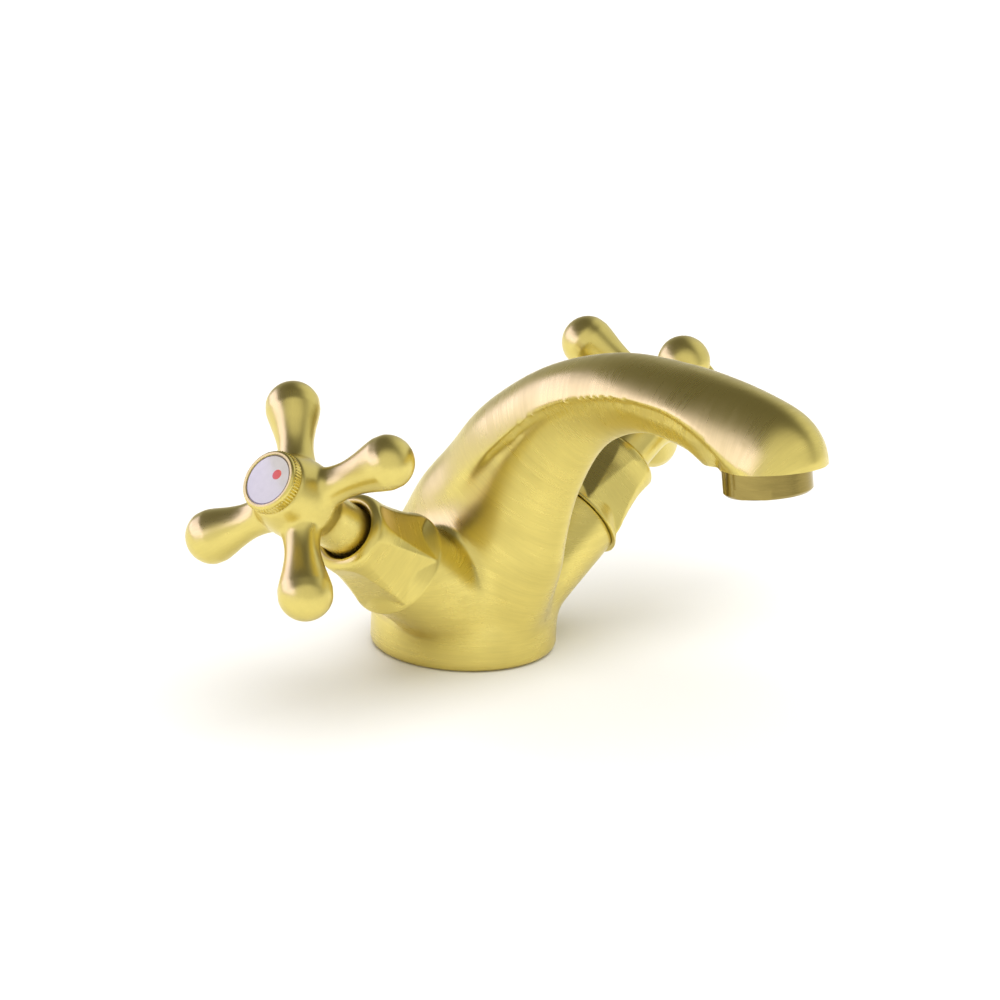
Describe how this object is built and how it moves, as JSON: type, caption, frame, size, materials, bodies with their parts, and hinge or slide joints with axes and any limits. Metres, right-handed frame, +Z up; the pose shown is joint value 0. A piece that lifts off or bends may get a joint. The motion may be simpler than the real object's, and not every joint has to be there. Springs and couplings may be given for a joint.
{
  "type": "two-handle basin mixer tap",
  "caption": "Deck-mounted brass basin mixer: arched fixed spout with an aerator, raised hot and cold ceramic valves with bell hoods and quarter-turn cross handles.",
  "frame": {"origin": "middle of the foot's underside, where the tap stands on the basin deck", "axes": "+Z up, the spout reaches along -Y, the hot handle is at -X and the cold handle at +X"},
  "size_m": [0.1866, 0.1565, 0.1021],
  "materials": {
    "satin_brass": "fine brushed, lightly aged yellow brass",
    "polished_brass": "polished, darker antique brass",
    "machined_brass": "turned, uncoated",
    "white_enamel": "gloss white enamel",
    "red_mark": "gloss red enamel",
    "blue_mark": "gloss blue enamel",
    "ceramic": "lapped alumina ceramic",
    "black_rubber": "matt rubber",
    "fibre": "red fibre sealing washer",
    "white_nylon": "moulded nylon",
    "steel": "plain stainless steel"
  },
  "bodies": {
    "tap_body": {"body_casting": "satin_brass", "base_gasket": "black_rubber", "aerator_housing": "polished_brass", "aerator_washer": "black_rubber", "aerator_insert": "white_nylon", "aerator_screen": "steel", "hot_valve_housing": "machined_brass", "hot_valve_washer": "fibre", "hot_seat_seal": "black_rubber", "hot_fixed_disc": "ceramic", "hot_hood": "satin_brass", "cold_valve_housing": "machined_brass", "cold_valve_washer": "fibre", "cold_seat_seal": "black_rubber", "cold_fixed_disc": "ceramic", "cold_hood": "satin_brass"},
    "hot_handle_set": {"hot_handle": "satin_brass", "hot_handle_screw": "steel", "hot_index_button": "satin_brass", "hot_index_disc": "white_enamel", "hot_index_dot": "red_mark", "hot_spindle": "machined_brass", "hot_moving_disc": "ceramic", "hot_thrust_washer": "white_nylon", "hot_spindle_orings": "black_rubber", "hot_spindle_circlip": "steel"},
    "cold_handle_set": {"cold_handle": "satin_brass", "cold_handle_screw": "steel", "cold_index_button": "satin_brass", "cold_index_disc": "white_enamel", "cold_index_dot": "blue_mark", "cold_spindle": "machined_brass", "cold_moving_disc": "ceramic", "cold_thrust_washer": "white_nylon", "cold_spindle_orings": "black_rubber", "cold_spindle_circlip": "steel"}
  },
  "joints": [
    {"name": "hot_handle_turn", "type": "hinge", "parent": "tap_body", "child": "hot_handle_set", "pos_m": [-0.07233, -0.0075, 0.05945], "axis": [-0.8192, 0, 0.5736], "range_deg": [0, 90]},
    {"name": "cold_handle_turn", "type": "hinge", "parent": "tap_body", "child": "cold_handle_set", "pos_m": [0.07233, -0.0075, 0.05945], "axis": [0.8192, 0, 0.5736], "range_deg": [-90, 0]}
  ]
}
